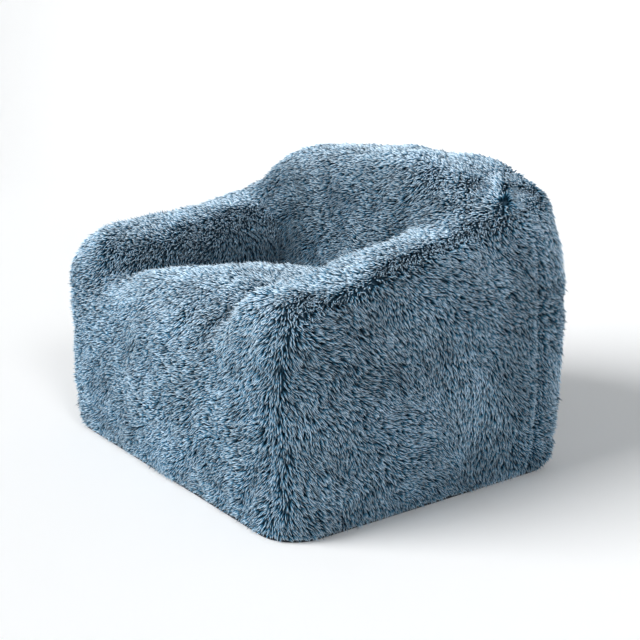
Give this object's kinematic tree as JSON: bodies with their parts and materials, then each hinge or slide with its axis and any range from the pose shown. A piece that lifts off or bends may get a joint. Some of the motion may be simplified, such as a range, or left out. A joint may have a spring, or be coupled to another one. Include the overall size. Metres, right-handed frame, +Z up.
{
  "type": "bean bag chair",
  "caption": "Armchair-shaped bean bag with arms and a back, in a long-pile faux fur cover sewn over bead-filled liner bags, with a refill zip low on the back.",
  "frame": {"origin": "on the floor, under the middle of the chair's bounding box", "axes": "+X to the right of someone who looks at the chair from the front, which is the sitting person's left; +Z up; the front faces -Y"},
  "size_m": [0.97, 0.799, 0.687],
  "materials": {
    "fur": "long-pile faux fur, dusty blue, matte",
    "base_cloth": "dark woven non-slip cloth, matte",
    "liner_cloth": "white non-woven cloth, matte",
    "beads": "white expanded beads, matte",
    "zip_tape": "dark blue woven tape, matte",
    "zip_teeth": "dark blue moulded nylon, satin",
    "zip_metal": "satin nickel",
    "label": "white woven satin, matte"
  },
  "bodies": {
    "chair": {"outer_back_panel": "fur", "lower_back_band": "fur", "right_side_panel": "fur", "left_side_panel": "fur", "inner_back_panel": "fur", "seat_front_panel": "fur", "right_arm_panel": "fur", "left_arm_panel": "fur", "seat_liner": "liner_cloth", "back_liner": "liner_cloth", "right_arm_liner": "liner_cloth", "left_arm_liner": "liner_cloth", "seat_bead_fill": "beads", "back_bead_fill": "beads", "right_arm_bead_fill": "beads", "left_arm_bead_fill": "beads", "zip_tape_upper": "zip_tape", "zip_tape_lower": "zip_tape", "zip_teeth_upper": "zip_teeth", "zip_teeth_lower": "zip_teeth", "zip_closed_end_stop": "zip_metal", "zip_open_end_stop": "zip_metal", "base_panel": "base_cloth", "care_label": "label"},
    "slider": {"zip_slider": "zip_metal"},
    "pull": {"zip_pull": "zip_metal"}
  },
  "joints": [
    {"name": "zip_slide", "type": "slide", "parent": "chair", "child": "slider", "axis": [-1, 0, 0], "range_m": [0, 0.59]},
    {"name": "pull_swing", "type": "hinge", "parent": "slider", "child": "pull", "pos_m": [0.295, 0.399, 0.0766], "axis": [0, 0, -1], "range_deg": [0, 175]}
  ]
}
